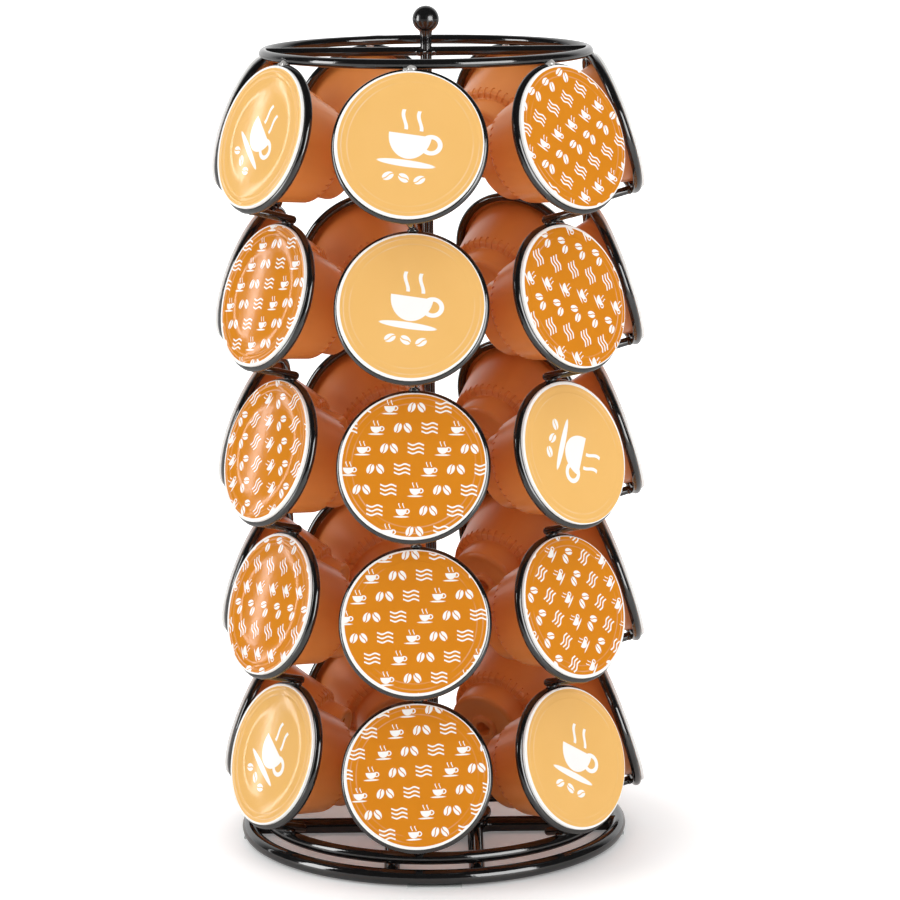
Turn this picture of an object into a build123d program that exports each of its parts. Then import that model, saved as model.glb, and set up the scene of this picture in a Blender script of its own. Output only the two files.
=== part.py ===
from build123d import *

import os
from math import atan, cos, pi, radians, sin, sqrt, tan

# Turning capsule dispenser: seven columns of five tilted wire rings stand on a bottom ring and carry a top ring,
# and turn with their post in a flat wire base. Each ring holds one sealed capsule by its flange.
# The origin is on the table under the post, +Z up, in millimetres. The viewer stands at -Y.

os.makedirs("parts", exist_ok=True)

# Counts
column_count = 7
row_count = 5
full_turn = 360.0

# Capsule
flange_diameter = 53.5
flange_thickness = 1.2
mouth_diameter = 47.0
shoulder_diameter = 36.4
shoulder_depth = 24.5
end_top_diameter = 30.0
end_diameter = 29.0
cup_depth = 36.0
foil_thickness = 0.3
foil_margin = 0.3

# Capsule rings
ring_wire_diameter = 3.2
cup_clearance = 1.05
ring_tilt = 18.5
ring_step = 2.6
end_gap = 3.36
first_column_angle = -95.0

# Link bars between the rings
link_diameter = 3.1
link_overhang = 1.0

# Top ring and its crossbar
top_wire_diameter = 3.6
top_ring_inset = 1.6
top_bar_diameter = 3.0

# Bottom ring, its crossbar and the hub
bottom_wire_diameter = 4.2
bottom_ring_inset = 5.2
bottom_bar_diameter = 4.0
bottom_bar_overhang = 1.0
hub_diameter = 10.0
hub_rise = 1.5

# Base
floor_ring_outset = 6.15
floor_wire_diameter = 6.0
turning_gap = 0.5
rod_setback = 4.7
rod_leg_place = 15.6
rod_bend_radius = 7.0
plate_diameter = 44.0
plate_thickness = 1.5

# Foot pads
pad_count = 4
pad_length = 20.0
pad_width = 6.0
pad_thickness = 0.4
first_pad_angle = -90.0

# Post and knob
post_diameter = 4.2
post_lift = 0.9
post_tail = 0.7
ball_diameter = 9.8
ball_rise = 12.0
ball_latitudes = (75, 45, 15, -15, -45, -75)

# Pivot: bush, washer and clip
bush_flange_diameter = 14.0
bush_flange_thickness = 1.0
bush_body_diameter = 8.0
running_clearance = 0.05
washer_diameter = 12.0
washer_thickness = 0.6
washer_clearance = 0.15
clip_diameter = 9.0
clip_thickness = 0.6
clip_play = 0.15
clip_opening = 3.0
groove_depth = 0.4

# Fits
weld_gap = 0.05
seat_gap = 0.05
overrun = 40.0

# Facets: round wire is drawn six-sided, and hoops, capsules and turned pieces with these many sides
wire_sides = 6
section_angles = (-60, 0, 60)
capsule_sides = 12
hoop_sides = 28
turned_sides = 16


# How far a polygon's corners reach for a circle of the same area, as a share of its radius
def corner_share(sides):
    return sqrt((2 * pi / sides) / sin(2 * pi / sides))


# The same for the middles of its flat sides
def flat_share(sides):
    return corner_share(sides) * cos(pi / sides)


# From a six-sided wire's axis to its corners, and to its flats
def half_width(diameter):
    return diameter / 2 * corner_share(wire_sides)


def half_height(diameter):
    return diameter / 2 * flat_share(wire_sides)


# The cage radius at which pieces of one width, at a depth behind their rings, stand clear of each other
def spaced_radius(width, depth):
    chord = width * flat_share(capsule_sides) + end_gap
    return chord / 2 / sin(pi / column_count) + depth * cos(tilt)


# Capsule rings: where their wire runs, and how far apart they stand
tilt = radians(ring_tilt)
flange_seat = half_height(ring_wire_diameter) + seat_gap
ring_radius = mouth_diameter / 2 + cup_clearance + ring_wire_diameter / 2
ring_reach = ring_radius * flat_share(capsule_sides)
ring_edge = (ring_radius + half_width(ring_wire_diameter)) * flat_share(capsule_sides)
row_pitch = (2 * ring_reach + ring_step) / cos(tilt)
row_shift = row_pitch * sin(tilt)
cage_radius = max(
    spaced_radius(flange_diameter, -flange_seat),
    spaced_radius(shoulder_diameter, shoulder_depth - flange_seat),
    spaced_radius(end_top_diameter, cup_depth - flange_thickness - flange_seat),
)

# A link bar leaves the back of its ring's lowest point and ends over the top of the next ring down
link_start = half_height(ring_wire_diameter) + weld_gap
link_seat = ring_edge - ring_reach + half_height(link_diameter) + weld_gap
link_climb = (link_seat - ring_step) / (row_shift - link_start)
link_run = row_shift - link_start + half_height(ring_wire_diameter) + link_overhang
link_angle = atan(link_climb)
link_slope = tilt - link_angle
link_drop = half_height(link_diameter) * cos(link_angle) / cos(link_slope)

# Heights from the table up to the bottom ring, with the lowest links resting on it
floor_ring_height = pad_thickness + half_height(floor_wire_diameter)
base_top = floor_ring_height + half_height(floor_wire_diameter)
bottom_ring_radius = cage_radius - bottom_ring_inset
floor_ring_radius = bottom_ring_radius + floor_ring_outset
bottom_ring_height = base_top + turning_gap + half_height(bottom_wire_diameter)
bottom_ring_top = bottom_ring_height + half_height(bottom_wire_diameter)
bottom_bar_height = bottom_ring_top + weld_gap + half_height(bottom_bar_diameter)
link_start_radius = cage_radius + ring_reach * sin(tilt) - link_start * cos(tilt)
link_contact_radius = bottom_ring_radius - half_width(bottom_wire_diameter) / 2
link_fall = (link_start_radius - link_contact_radius) * tan(link_slope)
link_start_height = bottom_ring_top + weld_gap + link_drop + link_fall
lowest_row_height = link_start_height + ring_reach * cos(tilt) + link_start * sin(tilt)

# Heights at the top
top_row_height = lowest_row_height + (row_count - 1) * row_pitch
top_ring_radius = cage_radius - ring_reach * sin(tilt) - top_ring_inset
top_ring_height = top_row_height + ring_edge * cos(tilt) + weld_gap + half_height(top_wire_diameter)
ball_height = top_ring_height + ball_rise

# Heights of the pivot, from the post's lower end up
clip_bottom = post_lift + post_tail
clip_top = clip_bottom + clip_thickness
bush_bottom = clip_top + clip_play
plate_bottom = base_top + weld_gap
plate_top = plate_bottom + plate_thickness
bush_flange_bottom = plate_top + seat_gap
bush_flange_top = bush_flange_bottom + bush_flange_thickness
washer_bottom = bush_flange_top + seat_gap
washer_top = washer_bottom + washer_thickness
hub_bottom = washer_top + seat_gap
hub_top = bottom_bar_height + half_height(bottom_bar_diameter) + hub_rise


# A flat-sided disc with a circle's area and a flat side towards +X
def disc(radius, sides, mode=Mode.ADD):
    RegularPolygon(radius * corner_share(sides), sides, rotation=full_turn / sides / 2, mode=mode)


# A flat-sided turning, from its outline as pairs of radius and height: the side view crossed in every direction
def turning(outline, sides):
    right = [(radius * flat_share(sides), height) for radius, height in outline]
    left = [(-reach, height) for reach, height in reversed(right)]
    with BuildPart() as turned:
        for turn in range(sides // 2):
            with BuildSketch(Plane.XZ.rotated((0, 0, turn * full_turn / sides))):
                with BuildLine():
                    Polyline(*right, *left, close=True)
                make_face()
            extrude(amount=overrun, both=True, mode=Mode.INTERSECT if turn else Mode.ADD)
    return turned.part


# A closed hoop of six-sided wire round the Z axis, with its flats up and down
def wire_hoop(mean_radius, wire_diameter, sides, height):
    corner = half_width(wire_diameter)
    section = [(corner * sin(radians(angle)), corner * cos(radians(angle))) for angle in section_angles]
    with BuildPart() as hoop:
        for rise, reach in section:
            with BuildSketch(Plane.XY.offset(height + rise)):
                disc(mean_radius + reach, sides)
        loft(ruled=True)
        for rise, reach in section:
            with BuildSketch(Plane.XY.offset(height + rise)):
                disc(mean_radius - reach, sides)
        loft(ruled=True, mode=Mode.SUBTRACT)
    return hoop.part


# A straight six-sided bar along X, with its flats up and down
def wire_bar(start, end, wire_diameter, height):
    with BuildPart() as bar:
        with BuildSketch(Plane.YZ.offset(start)):
            with Locations((0, height)):
                RegularPolygon(half_width(wire_diameter), wire_sides)
        extrude(amount=end - start)
    return bar.part


# The inner edge of a hoop's wire, measured to the middle of a side
def hoop_inside(mean_radius, wire_diameter):
    return (mean_radius - half_width(wire_diameter)) * flat_share(hoop_sides)


# The plane of one capsule ring: X runs up across the ring and Z out of it, row 0 at the bottom
def ring_plane(row, column):
    angle = radians(first_column_angle + column * full_turn / column_count)
    centre = Vector(cage_radius * cos(angle), cage_radius * sin(angle), lowest_row_height + row * row_pitch)
    up_across = Vector(-sin(tilt) * cos(angle), -sin(tilt) * sin(angle), cos(tilt))
    outward = Vector(cos(tilt) * cos(angle), cos(tilt) * sin(angle), sin(tilt))
    return Plane(centre, x_dir=up_across, z_dir=outward)


# One link bar in its ring's plane: a slanted prism whose cut ends stand square to the ring's axis
def link_bar():
    with BuildPart() as link:
        with BuildSketch(Plane.XY.offset(-link_start)):
            with Locations((-ring_reach, 0)):
                disc(link_diameter / 2, wire_sides)
        extrude(amount=link_run / cos(link_angle), dir=(link_climb, 0, -1))
    return link.part


# The moulded cup in its ring's plane: flange, tapered body and the narrower end
def capsule_cup():
    flange_top = flange_seat + flange_thickness
    shoulder = flange_top - shoulder_depth
    outline = (
        (flange_diameter / 2, flange_top),
        (flange_diameter / 2, flange_seat),
        (mouth_diameter / 2, flange_seat),
        (shoulder_diameter / 2, shoulder),
        (end_top_diameter / 2, shoulder),
        (end_diameter / 2, flange_top - cup_depth),
    )
    return turning(outline, capsule_sides)


# The foil lid on the flange, a little smaller than it
def capsule_foil():
    foil_bottom = flange_seat + flange_thickness + seat_gap
    with BuildPart() as foil:
        with BuildSketch(Plane.XY.offset(foil_bottom)):
            disc(flange_diameter / 2 - foil_margin, capsule_sides)
        extrude(amount=foil_thickness)
    return foil.part


# Ring columns: each has its five rings and the link bar under each ring
ring = wire_hoop(ring_radius, ring_wire_diameter, capsule_sides, 0)
link = link_bar()
for column in range(column_count):
    with BuildPart() as ring_column:
        with Locations(*[ring_plane(row, column) for row in range(row_count)]):
            add(ring)
            add(link)
    ring_column.part.label = f"ring_column_{column + 1}"
    export_step(ring_column.part, f"parts/ring_column_{column + 1}.step")

# Capsules, numbered from the top row down
cup = capsule_cup()
foil = capsule_foil()
for column in range(column_count):
    for row in range(row_count):
        with BuildPart(ring_plane(row_count - 1 - row, column)) as capsule:
            add(cup)
            add(foil)
        capsule.part.label = f"capsule_r{row + 1}c{column + 1}"
        export_step(capsule.part, f"parts/capsule_r{row + 1}c{column + 1}.step")

# Top ring
with BuildPart() as top_ring:
    add(wire_hoop(top_ring_radius, top_wire_diameter, hoop_sides, top_ring_height))
top_ring.part.label = "top_ring"
export_step(top_ring.part, "parts/top_ring.step")

# Top crossbar: a half on each side of the post, ending at the ring's inside
top_bar_start = post_diameter / 2 + weld_gap
top_bar_end = hoop_inside(top_ring_radius, top_wire_diameter) - weld_gap
with BuildPart() as top_bar_right:
    add(wire_bar(top_bar_start, top_bar_end, top_bar_diameter, top_ring_height))
top_bar_right.part.label = "top_bar_right"
export_step(top_bar_right.part, "parts/top_bar_right.step")

with BuildPart() as top_bar_left:
    mirror(top_bar_right.part, about=Plane.YZ)
top_bar_left.part.label = "top_bar_left"
export_step(top_bar_left.part, "parts/top_bar_left.step")

# Centre post, with the clip's groove near its lower end
groove_bottom = clip_bottom - seat_gap
with BuildPart() as centre_post:
    with BuildSketch(Plane.XY.offset(post_lift)):
        Circle(post_diameter / 2)
    extrude(amount=ball_height - post_lift)
    with BuildSketch(Plane.XY.offset(groove_bottom)):
        Circle(post_diameter / 2 + overrun)
        Circle(post_diameter / 2 - groove_depth, mode=Mode.SUBTRACT)
    extrude(amount=clip_thickness + 2 * seat_gap, mode=Mode.SUBTRACT)
centre_post.part.label = "centre_post"
export_step(centre_post.part, "parts/centre_post.step")

# Ball on the post's top end, with the hole it is pushed on by
ball_radius = ball_diameter / 2
ball_outline = [(ball_radius * cos(radians(a)), ball_height + ball_radius * sin(radians(a))) for a in ball_latitudes]
with BuildPart() as finial_ball:
    add(turning(ball_outline, turned_sides))
    with BuildSketch(Plane.XY.offset(ball_height + weld_gap)):
        Circle(post_diameter / 2 + weld_gap)
    extrude(amount=-overrun, mode=Mode.SUBTRACT)
finial_ball.part.label = "finial_ball"
export_step(finial_ball.part, "parts/finial_ball.step")

# Bottom ring
with BuildPart() as bottom_ring:
    add(wire_hoop(bottom_ring_radius, bottom_wire_diameter, hoop_sides, bottom_ring_height))
bottom_ring.part.label = "bottom_ring"
export_step(bottom_ring.part, "parts/bottom_ring.step")

# Bottom hub: the tube round the post
with BuildPart() as bottom_hub:
    with BuildSketch(Plane.XY.offset(hub_bottom)):
        disc(hub_diameter / 2, turned_sides)
        Circle(post_diameter / 2 + weld_gap, mode=Mode.SUBTRACT)
    extrude(amount=hub_top - hub_bottom)
bottom_hub.part.label = "bottom_hub"
export_step(bottom_hub.part, "parts/bottom_hub.step")

# Bottom crossbar: a half on each side of the hub, lying on the bottom ring
bottom_bar_start = hub_diameter / 2 * flat_share(turned_sides) + weld_gap
bottom_bar_end = bottom_ring_radius + bottom_bar_overhang
with BuildPart() as bottom_bar_right:
    add(wire_bar(bottom_bar_start, bottom_bar_end, bottom_bar_diameter, bottom_bar_height))
bottom_bar_right.part.label = "bottom_bar_right"
export_step(bottom_bar_right.part, "parts/bottom_bar_right.step")

with BuildPart() as bottom_bar_left:
    mirror(bottom_bar_right.part, about=Plane.YZ)
bottom_bar_left.part.label = "bottom_bar_left"
export_step(bottom_bar_left.part, "parts/bottom_bar_left.step")

# Retaining clip in the post's groove, open towards the back
clip_bore_radius = post_diameter / 2 - groove_depth + seat_gap
with BuildPart() as retaining_clip:
    with BuildSketch(Plane.XY.offset(clip_bottom)):
        disc(clip_diameter / 2, turned_sides)
        Circle(clip_bore_radius, mode=Mode.SUBTRACT)
        Rectangle(clip_opening, clip_diameter, align=(Align.CENTER, Align.MIN), mode=Mode.SUBTRACT)
    extrude(amount=clip_thickness)
retaining_clip.part.label = "retaining_clip"
export_step(retaining_clip.part, "parts/retaining_clip.step")

# Floor ring
with BuildPart() as floor_ring:
    add(wire_hoop(floor_ring_radius, floor_wire_diameter, hoop_sides, floor_ring_height))
floor_ring.part.label = "floor_ring"
export_step(floor_ring.part, "parts/floor_ring.step")

# Base rods: each runs in from the floor ring's side, bends and runs out to its front
rod_reach = hoop_inside(floor_ring_radius, floor_wire_diameter) - weld_gap
with BuildPart() as base_rod_right:
    with BuildLine(Plane.XY.offset(floor_ring_height)) as rod_path:
        FilletPolyline(
            (floor_ring_radius, -rod_setback),
            (rod_leg_place, -rod_setback),
            (rod_leg_place, -floor_ring_radius),
            radius=rod_bend_radius,
        )
    with BuildSketch(Plane(rod_path.line @ 0, x_dir=(0, 1, 0), z_dir=rod_path.line % 0)):
        RegularPolygon(half_width(floor_wire_diameter), wire_sides)
    sweep()
    with BuildSketch():
        disc(rod_reach / flat_share(hoop_sides), hoop_sides)
    extrude(amount=overrun, mode=Mode.INTERSECT)
base_rod_right.part.label = "base_rod_right"
export_step(base_rod_right.part, "parts/base_rod_right.step")

with BuildPart() as base_rod_left:
    mirror(base_rod_right.part, about=Plane.YZ)
base_rod_left.part.label = "base_rod_left"
export_step(base_rod_left.part, "parts/base_rod_left.step")

# Pivot plate on the rods' corners
with BuildPart() as pivot_plate:
    with BuildSketch(Plane.XY.offset(plate_bottom)):
        disc(plate_diameter / 2, turned_sides)
        disc(bush_body_diameter / 2 + seat_gap, turned_sides, mode=Mode.SUBTRACT)
    extrude(amount=plate_thickness)
pivot_plate.part.label = "pivot_plate"
export_step(pivot_plate.part, "parts/pivot_plate.step")

# Pivot bush: a flange on the plate and a body down through it, bored for the post
with BuildPart() as pivot_bush:
    with BuildSketch(Plane.XY.offset(bush_flange_bottom)):
        disc(bush_flange_diameter / 2, turned_sides)
    extrude(amount=bush_flange_thickness)
    with BuildSketch(Plane.XY.offset(bush_bottom)):
        disc(bush_body_diameter / 2, turned_sides)
    extrude(amount=bush_flange_bottom - bush_bottom)
    with BuildSketch(Plane.XY.offset(bush_bottom)):
        Circle(post_diameter / 2 + running_clearance)
    extrude(amount=overrun, mode=Mode.SUBTRACT)
pivot_bush.part.label = "pivot_bush"
export_step(pivot_bush.part, "parts/pivot_bush.step")

# Thrust washer under the hub
with BuildPart() as thrust_washer:
    with BuildSketch(Plane.XY.offset(washer_bottom)):
        disc(washer_diameter / 2, turned_sides)
        Circle(post_diameter / 2 + washer_clearance, mode=Mode.SUBTRACT)
    extrude(amount=washer_thickness)
thrust_washer.part.label = "thrust_washer"
export_step(thrust_washer.part, "parts/thrust_washer.step")

# Foot pads under the floor ring
with BuildPart() as foot_pads:
    with BuildSketch():
        with PolarLocations(floor_ring_radius, pad_count, start_angle=first_pad_angle):
            Rectangle(pad_width, pad_length)
    extrude(amount=pad_thickness)
foot_pads.part.label = "foot_pads"
export_step(foot_pads.part, "parts/foot_pads.step")
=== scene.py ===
"""A turning wire dispenser for coffee capsules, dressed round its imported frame.

Sizes are in millimetres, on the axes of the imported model: +Z up along the post, the viewer at -Y. A ring's
own plane has X up across the ring and Z out of it. Meshes are made in millimetres and scaled once, when a
piece is finished, so that every piece lies in metres in its place.
"""

import logging
from collections.abc import Callable, Iterator, Sequence
from contextlib import contextmanager
from dataclasses import dataclass
from enum import Enum
from math import atan2, cos, pi, radians, sin, tan, tau
from random import Random
from typing import Any

import bmesh
import bpy
from mathutils import Matrix, Vector


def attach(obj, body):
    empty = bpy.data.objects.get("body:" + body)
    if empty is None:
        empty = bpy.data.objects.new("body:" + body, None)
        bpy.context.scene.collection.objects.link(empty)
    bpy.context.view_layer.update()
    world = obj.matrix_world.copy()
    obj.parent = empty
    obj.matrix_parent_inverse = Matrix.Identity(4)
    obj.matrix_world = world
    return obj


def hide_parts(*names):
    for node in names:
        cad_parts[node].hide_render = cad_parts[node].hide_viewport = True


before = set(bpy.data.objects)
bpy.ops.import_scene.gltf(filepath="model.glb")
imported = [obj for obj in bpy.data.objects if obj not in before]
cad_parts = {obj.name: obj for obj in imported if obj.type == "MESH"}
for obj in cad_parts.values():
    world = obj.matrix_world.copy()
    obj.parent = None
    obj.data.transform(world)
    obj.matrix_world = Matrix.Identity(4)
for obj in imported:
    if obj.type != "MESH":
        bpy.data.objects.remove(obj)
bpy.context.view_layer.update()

log = logging.getLogger("dispenser")

# The points of an outline; red, green, blue and opacity; three lengths
Outline = Sequence[tuple[float, ...]]
Colour = tuple[float, float, float, float]
Sizes = tuple[float, float, float]

# Metres in a millimetre
MM = 0.001

# How near, in millimetres, two points are one
MERGE = 0.0005

# The width that a lid's UV map spans, in millimetres
LID_MAP = 60.0

# The sides of a straight wire
WIRE_SIDES = 24

# How nearly a face points a way to count as facing it, as the cosine between them
FACING = 0.9

# The two halves of a crossbar, with the sign of their X
HALVES = ((1, "right"), (-1, "left"))

# No turn at all
UPRIGHT = Matrix.Identity(3)


# Finishes


@dataclass(frozen=True)
class Signal:
    """A number that varies over a surface: a socket whose arithmetic adds Math nodes."""

    mixer: "Nodes"
    socket: bpy.types.NodeSocket

    def math(self, operation: str, *others: "Signal | float") -> "Signal":
        """Adds a Math node.

        Args:
            operation: the node's operation.
            others: its further inputs.

        Returns:
            The node's output.
        """
        inputs = {0: self, **dict(enumerate(others, 1))}
        node = self.mixer.node("ShaderNodeMath", {"operation": operation}, inputs)
        return Signal(self.mixer, node.outputs[0])

    def __add__(self, other: "Signal | float") -> "Signal":
        """Sum."""
        return self.math("ADD", other)

    __radd__ = __add__

    def __sub__(self, other: "Signal | float") -> "Signal":
        """Difference."""
        return self.math("SUBTRACT", other)

    def __rsub__(self, other: float) -> "Signal":
        """Difference from a number on the left."""
        return (self * -1.0).math("ADD", other)

    def __mul__(self, other: "Signal | float") -> "Signal":
        """Product."""
        return self.math("MULTIPLY", other)

    __rmul__ = __mul__

    def __truediv__(self, other: "Signal | float") -> "Signal":
        """Quotient."""
        return self.math("DIVIDE", other)

    def __abs__(self) -> "Signal":
        """Size without sign."""
        return self.math("ABSOLUTE")

    def floor(self) -> "Signal":
        """The whole number below."""
        return self.math("FLOOR")

    def sine(self) -> "Signal":
        """Sine of an angle in radians."""
        return self.math("SINE")

    def root(self) -> "Signal":
        """Square root."""
        return self.math("SQRT")

    def lower(self, other: "Signal | float") -> "Signal":
        """The smaller of two."""
        return self.math("MINIMUM", other)

    def upper(self, other: "Signal | float") -> "Signal":
        """The larger of two."""
        return self.math("MAXIMUM", other)

    def cycle(self, length: float) -> "Signal":
        """The remainder after whole lengths, from 0 up."""
        return self.math("FLOORED_MODULO", length)

    def near(self, value: float) -> "Signal":
        """1 where this is within half of a value, and 0 elsewhere."""
        return self.math("COMPARE", value, 0.5)

    def clamped(self) -> "Signal":
        """The same, held between 0 and 1."""
        return self.upper(0.0).lower(1.0)


class Nodes:
    """Adds nodes to one tree."""

    def __init__(self, tree: bpy.types.NodeTree) -> None:
        """Takes the tree."""
        self.tree = tree

    def node(self, kind: str, settings: dict[str, Any] | None = None,
             inputs: dict[Any, Any] | None = None) -> Any:
        """Adds a node.

        Args:
            kind: the node's type.
            settings: the properties that are set first.
            inputs: values or links by socket name or number.

        Returns:
            The node.
        """
        made = self.tree.nodes.new(kind)
        for key, value in (settings or {}).items():
            setattr(made, key, value)
        for key, value in (inputs or {}).items():
            self.feed(made.inputs[key], value)
        return made

    def feed(self, socket: bpy.types.NodeSocket, value: Any) -> None:
        """Sets or links a socket.

        Args:
            socket: the input.
            value: a Signal, a socket or a constant.
        """
        source = value.socket if isinstance(value, Signal) else value
        if isinstance(source, bpy.types.NodeSocket):
            self.tree.links.new(source, socket)
        else:
            socket.default_value = source


class Mixer(Nodes):
    """Builds one material's nodes round its Principled shader."""

    def __init__(self, name: str) -> None:
        """Starts a material.

        Args:
            name: the material's name.
        """
        self.material = bpy.data.materials.new(name)
        self.material.use_nodes = True
        super().__init__(self.material.node_tree)
        self.shader = next(n for n in self.tree.nodes if n.type == "BSDF_PRINCIPLED")

    def place(self) -> bpy.types.NodeSocket:
        """Where the surface is, in metres on the model's axes."""
        return self.node("ShaderNodeTexCoord").outputs["Object"]

    def map(self, name: str) -> tuple[Signal, Signal]:
        """Across and up on a piece's own UV map, in millimetres from its middle.

        Args:
            name: the UV map.

        Returns:
            The two coordinates.
        """
        read = self.node("ShaderNodeUVMap", {"uv_map": name})
        split = self.node("ShaderNodeSeparateXYZ", inputs={0: read.outputs[0]})
        return tuple((Signal(self, split.outputs[i]) - 0.5) * LID_MAP for i in (0, 1))

    def noise(self, grain: float, detail: float = 3.0) -> Signal:
        """Smooth noise from 0 to 1 on the model's axes.

        Args:
            grain: the size of its lumps in millimetres.
            detail: how many finer layers it has.

        Returns:
            The noise.
        """
        inputs = {"Vector": self.place(), "Scale": 1 / (grain * MM), "Detail": detail}
        return Signal(self, self.node("ShaderNodeTexNoise", inputs=inputs).outputs[0])

    def blend(self, low: Any, high: Any, share: "Signal | float") -> bpy.types.NodeSocket:
        """A colour between two.

        Args:
            low: the colour at 0.
            high: the colour at 1.
            share: from 0 to 1.

        Returns:
            The colour.
        """
        made = self.node("ShaderNodeMix", {"data_type": "RGBA"}, {0: share, 6: low, 7: high})
        return made.outputs[2]

    def bump(self, height: Signal, depth: float) -> bpy.types.NodeSocket:
        """A normal that follows a height.

        Args:
            height: from 0 to 1.
            depth: the real depth in millimetres.

        Returns:
            The normal.
        """
        return self.node("ShaderNodeBump", inputs={"Height": height, "Distance": depth * MM}).outputs[0]

    def finish(self, **sockets: Any) -> bpy.types.Material:
        """Sets the Principled shader's sockets.

        Args:
            sockets: values or links, with underscores for the spaces in a socket's name.

        Returns:
            The material.
        """
        for key, value in sockets.items():
            self.feed(self.shader.inputs[key.replace("_", " ")], value)
        return self.material


def srgb(red: int, green: int, blue: int) -> Colour:
    """A colour as it is seen on a screen, as the shader's linear numbers.

    Args:
        red: from 0 to 255.
        green: from 0 to 255.
        blue: from 0 to 255.

    Returns:
        Linear red, green and blue, and full opacity.
    """
    seen = [value / 255 for value in (red, green, blue)]
    linear = [share / 12.92 if share <= 0.04045 else ((share + 0.055) / 1.055) ** 2.4 for share in seen]
    return (*linear, 1.0)


@dataclass(frozen=True)
class Enamel:
    """Black gloss enamel on wire, with the slight waves of a sprayed coat."""

    name: str = "black_enamel"
    colour: Colour = srgb(12, 12, 13)
    faded: Colour = srgb(22, 21, 21)
    roughness: float = 0.05
    waves: float = 0.015
    index: float = 1.8
    cloud_grain: float = 9.0
    wave_grain: float = 0.9
    duller: float = 0.07

    def material(self) -> bpy.types.Material:
        """Builds the finish.

        Returns:
            The material.
        """
        mixer = Mixer(self.name)
        cloud, peel = mixer.noise(self.cloud_grain), mixer.noise(self.wave_grain, 2.0)
        return mixer.finish(
            Base_Color=mixer.blend(self.colour, self.faded, cloud),
            Roughness=cloud * self.duller + self.roughness,
            Normal=mixer.bump(peel, self.waves),
            IOR=self.index,
        )


@dataclass(frozen=True)
class MouldedPlastic:
    """Smooth moulded plastic, a little cloudy, with the fine grain of its mould."""

    name: str
    colour: Colour
    cloudy: Colour
    roughness: float
    grain_depth: float = 0.012
    cloud_grain: float = 14.0
    mould_grain: float = 0.35
    duller: float = 0.10

    def material(self) -> bpy.types.Material:
        """Builds the finish.

        Returns:
            The material.
        """
        mixer = Mixer(self.name)
        cloud, grain = mixer.noise(self.cloud_grain, 2.0), mixer.noise(self.mould_grain, 2.0)
        return mixer.finish(
            Base_Color=mixer.blend(self.colour, self.cloudy, cloud),
            Roughness=cloud * self.duller + self.roughness,
            Normal=mixer.bump(grain, self.grain_depth),
        )


@dataclass(frozen=True)
class Steel:
    """Bright spring steel with fine marks from its rolling."""

    colour: Colour = srgb(196, 196, 200)
    roughness: float = 0.22
    duller: float = 0.2
    mark_grain: float = 0.25
    mark_depth: float = 0.006

    def material(self) -> bpy.types.Material:
        """Builds the finish.

        Returns:
            The material.
        """
        mixer = Mixer("spring_steel")
        marks = mixer.noise(self.mark_grain, 4.0)
        return mixer.finish(
            Base_Color=self.colour,
            Metallic=1.0,
            Roughness=marks * self.duller + self.roughness,
            Normal=mixer.bump(marks, self.mark_depth),
        )


@dataclass(frozen=True)
class ClearPad:
    """Soft clear plastic with a fine dotted face."""

    colour: Colour = srgb(214, 220, 218)
    cover: float = 0.55
    roughness: float = 0.2
    duller: float = 0.3
    dot_grain: float = 0.5
    dot_depth: float = 0.05

    def material(self) -> bpy.types.Material:
        """Builds the finish.

        Returns:
            The material.
        """
        mixer = Mixer("clear_pad")
        dots = mixer.noise(self.dot_grain, 1.0)
        return mixer.finish(
            Base_Color=self.colour,
            Roughness=dots * self.duller + self.roughness,
            Alpha=self.cover,
            Normal=mixer.bump(dots, self.dot_depth),
        )


class Design(Enum):
    """What is printed on a lid."""

    EMBLEM = "emblem"
    PATTERN = "pattern"


@dataclass(frozen=True)
class CupShares:
    """How a drawn cup is made up, in shares of half its width."""

    bowl_lift: float = 0.15
    bowl_high: float = 1.15
    ear_out: float = 1.02
    ear_drop: float = 0.22
    ear_size: tuple[float, float] = (0.42, 0.38)
    ear_wide: float = 0.1
    saucer_drop: float = 1.22
    saucer_size: tuple[float, float] = (1.35, 0.16)
    steam_out: float = 0.36
    steam_lift: float = 0.82
    steam_size: tuple[float, float] = (0.46, 0.085)
    steam_sway: float = 0.12
    steam_turns: float = 4.2


@dataclass(frozen=True)
class BeanShares:
    """How a drawn bean is made up, in shares of half its length."""

    plump: float = 0.68
    slit_wide: float = 0.1
    slit_sway: float = 0.16
    slit_turns: float = 2.6


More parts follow.
